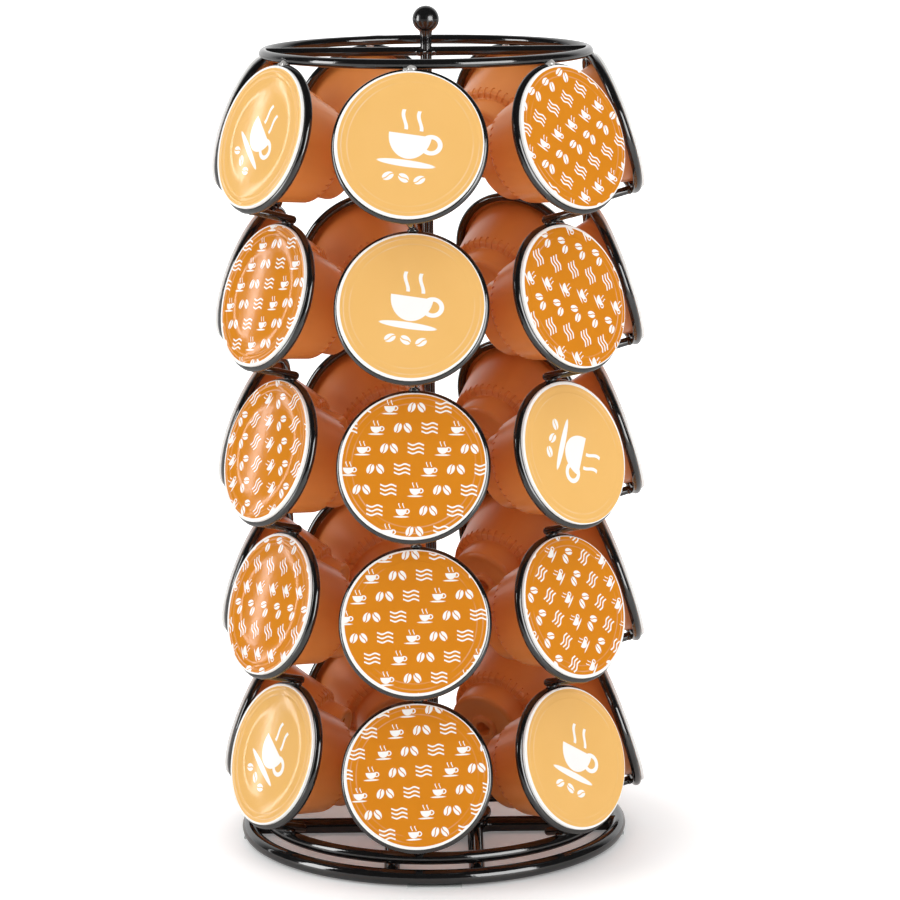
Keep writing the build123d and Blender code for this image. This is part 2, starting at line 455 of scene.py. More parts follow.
@dataclass(frozen=True)
class PrintedFoil:
    """The printed foil of a lid: a coloured face with white motifs, and a bare white rim."""

    design: Design
    ground: Colour
    shade: Colour
    white: Colour = srgb(250, 249, 246)
    rim_radius: float = 25.6
    crisp: float = 0.10
    # Painted highlights on the lid's embossed ridges: each one's radius and strength, their width, and the
    # cloud level and rise of the random patches where they show.
    ridge_highlight: tuple[tuple[float, float], ...] = ((22.2, 0.3), (24.35, 0.4))
    ridge_highlight_width: float = 0.35
    highlight_patch_from: float = 0.42
    highlight_patch_rise: float = 3.0
    cloud_grain: float = 16.0
    crinkle_grain: float = 2.2
    roughness: float = 0.04
    crinkle_duller: float = 0.04
    ink_duller: float = 0.03
    depth: float = 0.007
    crinkle_height: float = 0.8
    ink_height: float = 0.04
    cup_shares: CupShares = CupShares()
    bean_shares: BeanShares = BeanShares()
    emblem_cup: float = 7.6
    emblem_cup_lift: float = 2.5
    emblem_bean: float = 2.1
    emblem_bean_drop: float = 12.0
    emblem_beans: tuple[tuple[float, float], ...] = ((-5.6, 28.0), (0.0, -28.0), (5.6, 28.0))
    cell: tuple[float, float] = (9.6, 7.4)
    cell_cup: float = 1.95
    cell_cup_lift: float = 0.1
    cell_bean: float = 1.85
    bean_place: float = 1.75
    bean_turn: float = 62.0
    wave_lifts: tuple[float, ...] = (-1.5, 0.0, 1.5)
    wave_size: tuple[float, float] = (2.9, 0.3)
    wave_sway: float = 0.32
    wave_turns: float = 1.5

    def ink(self, distance: Signal) -> Signal:
        """1 inside a drawn shape, from its distance, with a soft edge."""
        return (0.5 - distance / self.crisp).clamped()

    def oval(self, x: Signal, y: Signal, half_wide: float, half_high: float) -> Signal:
        """Distance to an oval's edge, negative inside."""
        across, up = x / half_wide, y / half_high
        return ((across * across + up * up).root() - 1.0) * min(half_wide, half_high)

    def stroke(self, line: Signal, across: Signal, half_length: float, half_wide: float) -> Signal:
        """Distance to a stroke that is drawn where line is 0, over a length of the other coordinate."""
        return (abs(line) - half_wide).upper(abs(across) - half_length)

    def cup(self, x: Signal, y: Signal, size: float) -> Signal:
        """Distance to a cup on a saucer with two curls of steam.

        Args:
            x: across from its middle.
            y: up from its middle.
            size: half the cup's width.

        Returns:
            The distance, negative inside.
        """
        part = self.cup_shares
        brim = y - part.bowl_lift * size
        bowl = self.oval(x, brim, size, part.bowl_high * size).upper(brim)
        ear_size = [share * size for share in part.ear_size]
        saucer_size = [share * size for share in part.saucer_size]
        steam_size = [share * size for share in part.steam_size]
        ear = self.oval(x - part.ear_out * size, y + part.ear_drop * size, *ear_size)
        saucer = self.oval(x, y + part.saucer_drop * size, *saucer_size)
        drawn = bowl.lower(abs(ear) - part.ear_wide * size).lower(saucer)
        for side in (-part.steam_out, part.steam_out):
            curl = x - side * size - (y * (part.steam_turns / size)).sine() * (part.steam_sway * size)
            drawn = drawn.lower(self.stroke(curl, y - part.steam_lift * size, *steam_size))
        return drawn

    def bean(self, x: Signal, y: Signal, size: float, turn: float) -> Signal:
        """Distance to a coffee bean with its curved slit.

        Args:
            x: across from its middle.
            y: up from its middle.
            size: half its length.
            turn: how far it leans, in degrees.

        Returns:
            The distance, negative inside.
        """
        part = self.bean_shares
        c, s = cos(radians(turn)), sin(radians(turn))
        along, over = x * c + y * s, y * c - x * s
        middle = (along * (part.slit_turns / size)).sine() * (part.slit_sway * size)
        slit = abs(over - middle) - part.slit_wide * size
        return self.oval(along, over, size, part.plump * size).upper(slit * -1.0)

    def emblem(self, x: Signal, y: Signal) -> Signal:
        """White ink of a large cup over a row of three beans.

        Args:
            x: across from the lid's middle.
            y: up from the lid's middle.

        Returns:
            1 where the ink is.
        """
        drawn = self.cup(x, y - self.emblem_cup_lift, self.emblem_cup)
        for place, turn in self.emblem_beans:
            drawn = drawn.lower(self.bean(x - place, y + self.emblem_bean_drop, self.emblem_bean, turn))
        return self.ink(drawn)

    def pattern(self, x: Signal, y: Signal) -> Signal:
        """White ink of small cups, beans and waves, set like bricks.

        Args:
            x: across from the lid's middle.
            y: up from the lid's middle.

        Returns:
            1 where the ink is.
        """
        wide, high = self.cell
        row = (y / high).floor()
        shifted = x / wide + row * 0.5
        column = shifted.floor()
        cell_x = (shifted - column - 0.5) * wide
        cell_y = (y / high - row - 0.5) * high
        kind = (column + row * 2.0).cycle(3.0)
        left = self.bean(cell_x + self.bean_place, cell_y, self.cell_bean, self.bean_turn)
        right = self.bean(cell_x - self.bean_place, cell_y, self.cell_bean, 180.0 - self.bean_turn)
        pair = left.lower(right)
        waves = None
        for lift in self.wave_lifts:
            sway = (cell_x * self.wave_turns).sine() * self.wave_sway
            wave = self.stroke(cell_y - lift - sway, cell_x, *self.wave_size)
            waves = wave if waves is None else waves.lower(wave)
        small_cup = self.cup(cell_x, cell_y - self.cell_cup_lift, self.cell_cup)
        return (self.ink(small_cup) * kind.near(0.0) + self.ink(pair) * kind.near(1.0)
                + self.ink(waves) * kind.near(2.0)).clamped()

    def material(self) -> bpy.types.Material:
        """Builds the finish.

        Returns:
            The material.
        """
        mixer = Mixer(f"foil_{self.design.value}")
        x, y = mixer.map("lid")
        printed = mixer.map("print")
        ink = self.emblem(*printed) if self.design is Design.EMBLEM else self.pattern(*printed)
        radius = (x * x + y * y).root()
        rim = ((radius - self.rim_radius) / self.crisp + 0.5).clamped()
        cloud, crinkle = mixer.noise(self.cloud_grain, 2.0), mixer.noise(self.crinkle_grain)
        face = mixer.blend(self.ground, self.shade, cloud)
        # Paler lines at the embossed ridges are painted highlights, shown in random patches of the cloud.
        highlight_patches = ((cloud - self.highlight_patch_from) * self.highlight_patch_rise).clamped()
        for ridge_highlight, strength in self.ridge_highlight:
            line = (1.0 - abs(radius - ridge_highlight) / self.ridge_highlight_width).clamped()
            face = mixer.blend(face, self.white, line * highlight_patches * strength)
        return mixer.finish(
            Base_Color=mixer.blend(mixer.blend(face, self.white, ink), self.white, rim),
            Roughness=crinkle * self.crinkle_duller + ink * self.ink_duller + self.roughness,
            Normal=mixer.bump(crinkle * self.crinkle_height + ink * self.ink_height, self.depth),
        )


# Tools of the workshop


def settle() -> None:
    """Leaves edit mode and deselects everything."""
    if bpy.context.mode != "OBJECT":
        bpy.ops.object.mode_set(mode="OBJECT")
    bpy.ops.object.select_all(action="DESELECT")
    bpy.context.view_layer.objects.active = None


def take(*pieces: bpy.types.Object) -> None:
    """Selects only these pieces, with the first one active.

    Args:
        pieces: the pieces.
    """
    settle()
    for piece in pieces:
        piece.select_set(True)
    bpy.context.view_layer.objects.active = pieces[0]


@contextmanager
def shaping(piece: bpy.types.Object, kind: str = "FACE") -> Iterator[None]:
    """Edit mode on one piece, with nothing in it selected.

    Args:
        piece: the piece.
        kind: VERT, EDGE or FACE.

    Yields:
        Nothing, while edit mode lasts.
    """
    take(piece)
    bpy.ops.object.mode_set(mode="EDIT")
    bpy.ops.mesh.select_mode(type=kind)
    bpy.ops.mesh.select_all(action="DESELECT")
    yield
    bpy.ops.object.mode_set(mode="OBJECT")


def fixed(piece: bpy.types.Object) -> bpy.types.Object:
    """Moves a piece's place, turn and scale into its mesh.

    Args:
        piece: the piece.

    Returns:
        The piece.
    """
    take(piece)
    bpy.ops.object.transform_apply(location=True, rotation=True, scale=True)
    return piece


def started(name: str, add: Callable[..., Any], **settings: Any) -> bpy.types.Object:
    """Starts a piece from a primitive.

    Args:
        name: the piece's name.
        add: the operator that adds the primitive.
        settings: its size and place.

    Returns:
        The piece.
    """
    settle()
    add(**settings)
    piece = bpy.context.object
    piece.name = name
    return fixed(piece)


def pick_faces(piece: bpy.types.Object, test: Callable[[Vector, Vector], bool]) -> None:
    """Selects faces in edit mode by their middle and normal.

    Args:
        piece: the piece in edit mode.
        test: says of a middle and a normal whether the face is wanted.
    """
    mesh = bmesh.from_edit_mesh(piece.data)
    for face in mesh.faces:
        face.select_set(test(face.calc_center_median(), face.normal))
    mesh.select_flush_mode()
    bmesh.update_edit_mesh(piece.data)


def rounded(outline: Outline, steps: int = 4, most: float = 0.49) -> list[tuple[float, float]]:
    """An outline with its corners rounded.

    Args:
        outline: points of radius, height and, where a corner is rounded, its rounding radius.
        steps: how many parts each rounding has.
        most: the share of a side that one rounding may take.

    Returns:
        The points of radius and height.
    """
    flat = [Vector(point[:2]) for point in outline]
    points = []
    for i, point in enumerate(outline):
        here = flat[i]
        if len(point) < 3 or not 0 < i < len(outline) - 1:
            points.append(tuple(here))
            continue
        back, on = (flat[i - 1] - here), (flat[i + 1] - here)
        opening = back.angle(on)
        reach = min(point[2] / tan(opening / 2), most * back.length, most * on.length)
        radius = reach * tan(opening / 2)
        centre = here + (back.normalized() + on.normalized()).normalized() * (radius / sin(opening / 2))
        start, end = here + back.normalized() * reach - centre, here + on.normalized() * reach - centre
        sweep = start.angle(end)
        for k in range(steps + 1):
            share = k / steps
            arc = (start * sin((1 - share) * sweep) + end * sin(share * sweep)) / sin(sweep)
            points.append(tuple(centre + arc))
    return points


def turned(name: str, outline: Outline, steps: int = 72, opening: float = 0.0) -> bpy.types.Object:
    """Turns a shape round Z from its outline, as on a lathe.

    Args:
        name: the piece's name.
        outline: the points from one end to the other, as rounded() takes them.
        steps: how many sides the turning has.
        opening: the angle that is left open towards +Y, in radians. The outline is then a closed section.

    Returns:
        The piece.
    """
    points = rounded(outline)
    piece = started(name, bpy.ops.mesh.primitive_plane_add, size=1.0)
    with shaping(piece, "VERT"):
        bpy.ops.mesh.select_all(action="SELECT")
        bpy.ops.mesh.merge(type="CENTER")
        bpy.ops.transform.translate(value=(points[0][0], 0, points[0][1]))
        for before, after in zip(points, points[1:]):
            bpy.ops.mesh.extrude_region_move(
                TRANSFORM_OT_translate={"value": (after[0] - before[0], 0, after[1] - before[1])})
        bpy.ops.mesh.select_all(action="SELECT")
        if opening:
            bpy.ops.mesh.remove_doubles(threshold=MERGE)
            bpy.ops.mesh.edge_face_add()
            bpy.ops.transform.rotate(value=(opening - pi) / 2, orient_axis="Z", center_override=(0, 0, 0))
        bpy.ops.mesh.spin(steps=steps, angle=tau - opening, center=(0, 0, 0), axis=(0, 0, 1))
        bpy.ops.mesh.select_all(action="SELECT")
        bpy.ops.mesh.remove_doubles(threshold=MERGE)
        bpy.ops.mesh.normals_make_consistent(inside=False)
    return piece


def hoop(name: str, radius: float, wire: float, height: float = 0.0, *, seam: float,
         sides: int = 128) -> bpy.types.Object:
    """A hoop of round wire, with the slight swelling where its ends are butt-welded.

    Args:
        name: the piece's name.
        radius: from its middle to the wire's axis.
        wire: the wire's diameter.
        height: its height.
        seam: the angle at which its ends meet.
        sides: how many parts it has round.

    Returns:
        The piece.
    """
    piece = started(name, bpy.ops.mesh.primitive_torus_add, major_radius=radius, minor_radius=wire / 2,
                    major_segments=sides, minor_segments=16, location=(0, 0, height))
    half_weld, swelling = 0.9 * tau / sides, 0.04 * wire

    def at_seam(middle: Vector, normal: Vector) -> bool:
        """Whether a face is beside the seam."""
        off = (atan2(middle.y, middle.x) - seam + pi) % tau - pi
        return abs(off) < half_weld

    with shaping(piece):
        pick_faces(piece, at_seam)
        bpy.ops.mesh.subdivide(number_cuts=1)
        bpy.ops.transform.shrink_fatten(value=swelling)
        bpy.ops.mesh.vertices_smooth(factor=0.5, repeat=2)
    return piece


def rod(name: str, start: Vector, end: Vector, wire: float, rounding: float = 0.35) -> bpy.types.Object:
    """A straight length of round wire with its cut ends dressed.

    Args:
        name: the piece's name.
        start: one end.
        end: the other end.
        wire: its diameter.
        rounding: how far its ends are rounded.

    Returns:
        The piece.
    """
    along, margin = end - start, 0.12 * wire
    piece = started(name, bpy.ops.mesh.primitive_cylinder_add, vertices=WIRE_SIDES, radius=wire / 2,
                    depth=along.length, location=(start + end) / 2,
                    rotation=along.to_track_quat("Z", "Y").to_euler())

    def at_end(middle: Vector, normal: Vector) -> bool:
        """Whether a face is one of the cut ends."""
        return abs(normal.dot(along.normalized())) > FACING

    with shaping(piece):
        pick_faces(piece, at_end)
        bpy.ops.mesh.inset(thickness=margin)
        bpy.ops.mesh.select_all(action="DESELECT")
        pick_faces(piece, at_end)
        bpy.ops.mesh.region_to_loop()
        bpy.ops.mesh.bevel(offset=rounding, segments=3, affect="EDGES")
    return piece


def bead(name: str, middle: Vector, size: Sizes, turn: Matrix, seed: int) -> bpy.types.Object:
    """A weld bead: a small uneven lump that fills the corner between two wires.

    Args:
        name: the piece's name.
        middle: its middle.
        size: half its length each way.
        turn: its rotation.
        seed: for its unevenness.

    Returns:
        The piece.
    """
    piece = started(name, bpy.ops.mesh.primitive_uv_sphere_add, segments=16, ring_count=10, radius=1.0)
    with shaping(piece, "VERT"):
        bpy.ops.mesh.select_all(action="SELECT")
        bpy.ops.transform.vertex_random(offset=0.10, uniform=0.2, seed=seed)
        bpy.ops.mesh.vertices_smooth(factor=0.5, repeat=2)
        bpy.ops.transform.resize(value=size, center_override=(0, 0, 0))
    piece.matrix_world = Matrix.Translation(middle) @ turn.to_4x4()
    return fixed(piece)


def joined(name: str, pieces: Sequence[bpy.types.Object]) -> bpy.types.Object:
    """Joins pieces into one.

    Args:
        name: the whole's name.
        pieces: its parts.

    Returns:
        The whole.
    """
    take(*pieces)
    bpy.ops.object.join()
    whole = bpy.context.object
    whole.name = name
    return whole


def copied(name: str, source: bpy.types.Object, place: Matrix) -> bpy.types.Object:
    """A copy of a piece, with its own mesh, at another place.

    Args:
        name: the copy's name.
        source: the piece.
        place: where it goes, in millimetres.

    Returns:
        The copy.
    """
    mesh = source.data.copy()
    mesh.transform(place)
    piece = bpy.data.objects.new(name, mesh)
    bpy.context.scene.collection.objects.link(piece)
    return piece


def put_away(*pieces: bpy.types.Object) -> None:
    """Removes patterns that have been copied."""
    for piece in pieces:
        bpy.data.objects.remove(piece)


@dataclass(frozen=True)
class Dressing:
    """How a finished piece is handed over: its material, body and the nodes that it stands for."""

    material: bpy.types.Material
    body: str
    slot: str | None = None
    smooth: float = 38.0

    def on(self, piece: bpy.types.Object, *nodes: str) -> bpy.types.Object:
        """Scales a piece to metres, dresses it and hands it over.

        Args:
            piece: the piece, in millimetres.
            nodes: the nodes that it stands for.

        Returns:
            The piece.
        """
        piece.data.transform(Matrix.Scale(MM, 4))
        piece.data.materials.clear()
        piece.data.materials.append(self.material)
        take(piece)
        bpy.ops.object.shade_smooth_by_angle(angle=radians(self.smooth))
        settle()
        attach(piece, self.body)
        if nodes:
            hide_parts(*nodes)
        log.info("%s rides on %s, %d faces", piece.name, self.body, len(piece.data.polygons))
        return piece


# The dispenser


@dataclass(frozen=True)
class Cage:
    """Where the rings stand round the post."""

    columns: int = 7
    rows: int = 5
    radius: float = 69.554
    lowest: float = 41.008
    pitch: float = 57.255
    tilt: float = radians(18.5)
    first: float = radians(-95.0)

    def angle(self, column: int) -> float:
        """A column's angle round the post, from +X."""
        return self.first + column * tau / self.columns

    def plane(self, row: int, column: int) -> Matrix:
        """A ring's plane.

        Args:
            row: from 0 at the top.
            column: from 0 at the front.

        Returns:
            The matrix that takes the ring's own axes to the model's, in millimetres.
        """
        turn, height = self.angle(column), self.lowest + (self.rows - 1 - row) * self.pitch
        across = Vector((-sin(self.tilt) * cos(turn), -sin(self.tilt) * sin(turn), cos(self.tilt)))
        out = Vector((cos(self.tilt) * cos(turn), cos(self.tilt) * sin(turn), sin(self.tilt)))
        made = Matrix((across, out.cross(across), out)).transposed().to_4x4()
        made.translation = (self.radius * cos(turn), self.radius * sin(turn), height)
        return made

    def step(self) -> tuple[float, float]:
        """How far the next ring down stands, across the ring and behind it."""
        return self.pitch * cos(self.tilt), self.pitch * sin(self.tilt)


@dataclass(frozen=True)
class RingColumn:
    """Seven columns of welded rings, each ring with the link bar that carries it."""

    cage: Cage
    radius: float = 26.15
    wire: float = 3.2
    link: float = 3.1
    overhang: float = 2.52
    sink: float = 0.12
    seam: float = pi - 0.06
    start: float = 0.4
    rounding: float = 0.9
    lowest_contact: float = 13.9
    near_place: float = 1.9
    near_shift: Sizes = (-0.1, 0, 0.2)
    near_weld: Sizes = (1.75, 2.2, 1.5)
    far_weld: Sizes = (1.35, 2.3, 2.3)
    weld_seeds: tuple[int, int] = (3, 8)

    def unit(self, name: str, contact: float) -> bpy.types.Object:
        """One ring in its own plane, with its link bar and welds.

        Args:
            name: the unit's name.
            contact: how far behind the ring its link is welded to what carries it.

        Returns:
            The unit.
        """
        down, behind = self.cage.step()
        touch = self.radius + self.wire / 2 - down + self.link / 2 - self.sink
        climb = (touch + self.radius) / behind

        def axis(depth: float) -> Vector:
            """The link's axis at a depth behind the ring."""
            return Vector((-self.radius + depth * climb, 0, -depth))

        ring = hoop(name, self.radius, self.wire, seam=self.seam)
        bar = rod(f"{name}_link", axis(self.start), axis(behind + self.overhang), self.link, self.rounding)
        root = axis(self.near_place) + Vector(self.near_shift)
        foot = axis(contact) - Vector((self.link / 2, 0, 0))
        near_seed, far_seed = self.weld_seeds
        near = bead(f"{name}_near", root, self.near_weld, UPRIGHT, near_seed)
        far = bead(f"{name}_far", foot, self.far_weld, UPRIGHT, far_seed)
        return joined(name, [ring, bar, near, far])

    def build(self, enamel: bpy.types.Material) -> None:
        """Builds and dresses the columns.

        Args:
            enamel: their finish.
        """
        _, behind = self.cage.step()
        upper, lowest = self.unit("ring", behind), self.unit("ring_low", self.lowest_contact)
        sources = [upper] * (self.cage.rows - 1) + [lowest]
        for column in range(self.cage.columns):
            rings = [copied(f"ring_{row}", source, self.cage.plane(row, column))
                     for row, source in enumerate(sources)]
            whole = joined(f"column_wire_{column + 1}", rings)
            Dressing(enamel, "carousel", "black_wire").on(whole, f"ring_column_{column + 1}")
        put_away(upper, lowest)


@dataclass(frozen=True)
class Capsules:
    """The capsules: a moulded cup, and its printed foil lid."""

    cage: Cage
    seat: float = 1.6
    thickness: float = 1.2
    cup_sides: int = 120
    lid_sides: int = 96
    flute_count: int = 40
    flute_span: tuple[float, float] = (22.95, 25.95)
    flute_margin: float = 0.12
    flute_depth: float = 0.3
    rim_shift: tuple[float, float] = (-0.35, -0.25)
    print_drift: tuple[float, float] = (9, 7)
    print_seed: int = 11
    cup_outline: Outline = (
        (0.0, 31.6), (2.3, 31.6, 0.5), (2.9, 36.0, 0.5), (5.0, 36.0, 0.8), (5.5, 34.9, 0.5),
        (11.6, 34.7), (11.9, 34.9), (14.4, 34.9, 2.0), (14.9, 25.9, 0.7), (17.3, 25.5, 0.9),
        (18.1, 24.5, 0.9), (18.5, 22.9), (23.1, 2.6), (23.45, 1.2, 0.5), (25.9, 1.2, 0.3),
        (26.25, 0.9, 0.3), (26.25, 0.2, 0.15), (26.1, 0.0), (0.0, 0.0),
    )
    lid_outline: Outline = (
        (0.0, 0.29), (4.0, 0.283), (8.0, 0.262), (12.0, 0.227), (16.0, 0.178), (21.6, 0.09),
        (22.0, 0.13, 0.4), (22.5, 0.07, 0.4), (23.6, 0.06), (24.1, 0.17, 0.4), (24.6, 0.17, 0.4),
        (25.2, 0.1, 0.3), (25.9, 0.12, 0.2), (26.4, 0.02, 0.2), (26.4, -1.05, 0.1), (26.28, -1.08),
        (26.28, 0.01), (0.0, 0.01),
    )
    emblems: frozenset[tuple[int, int]] = frozenset({
        (0, 0), (0, 6), (0, 3), (1, 0), (1, 4), (2, 1), (2, 5), (3, 3), (4, 1), (4, 6), (4, 4),
    })
    turns: tuple[tuple[float, ...], ...] = (
        (8, 38, 20, -70, 130, 10, 38),
        (8, 78, 65, 15, -20, 140, -8),
        (0, 125, -30, 80, 10, -65, -62),
        (-2, -42, 95, -15, 60, 20, 50),
        (-4, 33, 10, 45, -100, 75, 30),
    )

    def cup(self) -> bpy.types.Object:
        """The cup in its ring's plane.

        Returns:
            The cup.
        """
        top = self.seat + self.thickness
        piece = turned("cup", [(p[0], top - p[1], *p[2:]) for p in self.cup_outline], steps=self.cup_sides)
        apart = self.cup_sides // self.flute_count
        upper, lower = self.flute_span

        def at_flute(middle: Vector, normal: Vector) -> bool:
            """Whether a face is one of the short flutes at the shoulder."""
            step = int((atan2(middle.y, middle.x) / tau % 1.0) * self.cup_sides)
            return step % apart == 0 and top - lower < middle.z < top - upper

        with shaping(piece):
            pick_faces(piece, at_flute)
            bpy.ops.mesh.inset(thickness=self.flute_margin, depth=-self.flute_depth)
        return piece

    def lid(self) -> bpy.types.Object:
        """The foil lid in its ring's plane."""
        top = self.seat + self.thickness
        return turned("lid", [(p[0], top + p[1], *p[2:]) for p in self.lid_outline], steps=self.lid_sides)

    def lay_print(self, lid: bpy.types.Object, turn: float, shift: tuple[float, float]) -> None:
        """Gives a lid its UV maps, from its own plane.

        Args:
            lid: the lid, before it is put in place.
            turn: how far its print is turned, in degrees.
            shift: how far its print is off its middle, in millimetres.
        """
        c, s = cos(radians(turn)), sin(radians(turn))
        for name, (right, up) in (("lid", self.rim_shift), ("print", shift)):
            layer = lid.data.uv_layers.new(name=name)
            for loop in lid.data.loops:
                place = lid.data.vertices[loop.vertex_index].co
                x, y = -place.y, place.x
                layer.data[loop.index].uv = ((x * c - y * s + right) / LID_MAP + 0.5,
                                             (x * s + y * c + up) / LID_MAP + 0.5)

    def build(self, plastic: bpy.types.Material, foils: dict[Design, bpy.types.Material]) -> None:
        """Builds and dresses the capsules.

        Args:
            plastic: the cups' finish.
            foils: the lids' finishes.
        """
        cup, lid = self.cup(), self.lid()
        chance = Random(self.print_seed)
        wide, high = self.print_drift
        for row in range(self.cage.rows):
            for column in range(self.cage.columns):
                name = f"r{row + 1}c{column + 1}"
                body, place = f"capsule_{name}", self.cage.plane(row, column)
                Dressing(plastic, body, "capsule_plastic").on(copied(f"cup_{name}", cup, place), body)
                shift = (chance.uniform(-wide, wide), chance.uniform(-high, high))
                design = Design.EMBLEM if (row, column) in self.emblems else Design.PATTERN
                printed = copied(f"lid_{name}", lid, Matrix.Identity(4))
                self.lay_print(printed, self.turns[row][column], (0, 0) if design is Design.EMBLEM else shift)
                printed.data.transform(place)
                Dressing(foils[design], body).on(printed)
        put_away(cup, lid)


@dataclass(frozen=True)
class TopFrame:
    """The ring at the top of the columns, and its crossbar."""

    cage: Cage
    radius: float = 59.75
    wire: float = 3.6
    height: float = 297.954
    bar: float = 3.4
    bar_start: float = 1.8
    bar_end: float = 59.25
    seam: float = 1.9
    ring_welds: tuple[tuple[Sizes, Sizes], ...] = (
        ((60.9, 0.2, 296.1), (1.9, 2.1, 1.9)),
        ((61.5, -1.9, 295.7), (1.2, 1.3, 1.2)),
        ((61.6, 0.9, 295.2), (1.0, 1.0, 1.3)),
    )
    bar_welds: tuple[tuple[float, Sizes, int], ...] = ((1.6, (3.4, 2.6, 1.7), 5), (57.9, (1.5, 2.3, 1.7), 9))
    bar_weld_drop: float = 0.2

    def build(self, enamel: bpy.types.Material, painted_weld_glint: bpy.types.Material) -> None:
        """Builds and dresses the frame.

        Args:
            enamel: the wires' finish.
            painted_weld_glint: pale grey paint on the welds of the uppermost rings, a painted glint on what
                is black enamel.
        """
        dressing = Dressing(enamel, "carousel", "black_wire")
        ring = hoop("top_hoop", self.radius, self.wire, self.height, seam=self.seam, sides=192)
        dressing.on(ring, "top_ring")
        welds = []
        for column in range(self.cage.columns):
            turn = Matrix.Rotation(self.cage.angle(column), 3, "Z")
            for place, size in self.ring_welds:
                welds.append(bead(f"top_weld_{column}", turn @ Vector(place), size, turn, column))
        # The top welds get pale grey paint where they are black enamel: a painted glint.
        Dressing(painted_weld_glint, "carousel", "black_wire").on(joined("top_welds", welds))
        for side, name in HALVES:
            bar = rod(f"top_crossbar_{name}", Vector((side * self.bar_start, 0, self.height)),
                      Vector((side * self.bar_end, 0, self.height)), self.bar)
            low = self.height - self.bar_weld_drop
            welds = [bead("bar_weld", Vector((side * x, 0, low)), size, UPRIGHT, seed)
                     for x, size, seed in self.bar_welds]
            dressing.on(joined(bar.name, [bar, *welds]), f"top_bar_{name}")


@dataclass(frozen=True)
class PostAndKnob:
    """The post with its ball, and the clip in its groove."""

    wire: float = 4.2
    bottom: float = 0.9
    bottom_rounding: float = 0.25
    top: float = 306.0
    wall_edges: tuple[float, ...] = (120.0, 240.0)
    groove: Sizes = (1.55, 2.25, 0.4)
    ball: float = 4.9
    ball_height: float = 309.75
    ball_angles: range = range(-60, 90, 6)
    neck: Outline = ((0, 303.4), (2.12, 303.4), (2.16, 304.2), (2.26, 304.9))
    clip: tuple[float, float, float, float] = (1.75, 4.5, 1.6, 2.2)
    clip_opening: float = radians(50)

    def build(self, enamel: bpy.types.Material, soft: bpy.types.Material, steel: bpy.types.Material) -> None:
        """Builds and dresses the post, ball and clip.

        Args:
            enamel: the post's finish.
            soft: the ball's finish.
            steel: the clip's finish.
        """
        dressing = Dressing(enamel, "carousel", "black_wire")
        radius = self.wire / 2
        low, high, depth = self.groove
        wall = [(radius, height) for height in (high, *self.wall_edges, self.top)]
        foot = ((0, self.bottom), (radius, self.bottom, self.bottom_rounding), (radius, low))
        groove = ((radius - depth, low), (radius - depth, high))
        dressing.on(turned("post", (*foot, *groove, *wall, (0, self.top)), steps=40), "centre_post")
        sphere = [(self.ball * cos(radians(a)), self.ball_height + self.ball * sin(radians(a)))
                  for a in self.ball_angles]
        ball = turned("knob", (*self.neck, *sphere, (0, self.ball_height + self.ball)), steps=64)
        Dressing(soft, "carousel", "black_wire").on(ball, "finial_ball")
        inner, outer, low, high = self.clip
        section = ((inner, low), (outer, low), (outer, high), (inner, high), (inner, low))
        clip = turned("clip", section, steps=40, opening=self.clip_opening)
        Dressing(steel, "carousel", "spring_steel").on(clip, "retaining_clip")


@dataclass(frozen=True)
class BottomFrame:
    """The ring under the columns, its crossbar and the hub."""

    radius: float = 64.354
    wire: float = 4.7
    height: float = 8.66
    bar: float = 4.0
    bar_height: float = 12.66
    bar_start: float = 4.7
    bar_end: float = 65.35
    bar_rounding: float = 0.5
    seam: float = 2.2
    hub: tuple[float, float, float, float] = (2.15, 5.0, 9.42, 15.97)
    hub_roundings: tuple[float, float] = (0.5, 0.6)
    welds: tuple[tuple[float, float, Sizes, int], ...] = (
        (5.1, 12.6, (0.9, 2.5, 2.4), 2),
        (64.354, 10.9, (2.0, 2.6, 1.1), 4),
    )

    def build(self, enamel: bpy.types.Material) -> None:
        """Builds and dresses the frame.

        Args:
            enamel: its finish.
        """
        dressing = Dressing(enamel, "carousel", "black_wire")
        ring = hoop("bottom_hoop", self.radius, self.wire, self.height, seam=self.seam, sides=192)
        dressing.on(ring, "bottom_ring")
        bore, outer, low, high = self.hub
        foot, brim = self.hub_roundings
        section = ((bore, low), (outer, low, foot), (outer, high, brim), (bore, high), (bore, low))
        dressing.on(turned("hub", section, steps=48), "bottom_hub")
        for side, name in HALVES:
            bar = rod(f"bottom_crossbar_{name}", Vector((side * self.bar_start, 0, self.bar_height)),
                      Vector((side * self.bar_end, 0, self.bar_height)), self.bar, self.bar_rounding)
            welds = [bead("bar_weld", Vector((side * x, 0, z)), size, UPRIGHT, seed)
                     for x, z, size, seed in self.welds]
            dressing.on(joined(bar.name, [bar, *welds]), f"bottom_bar_{name}")


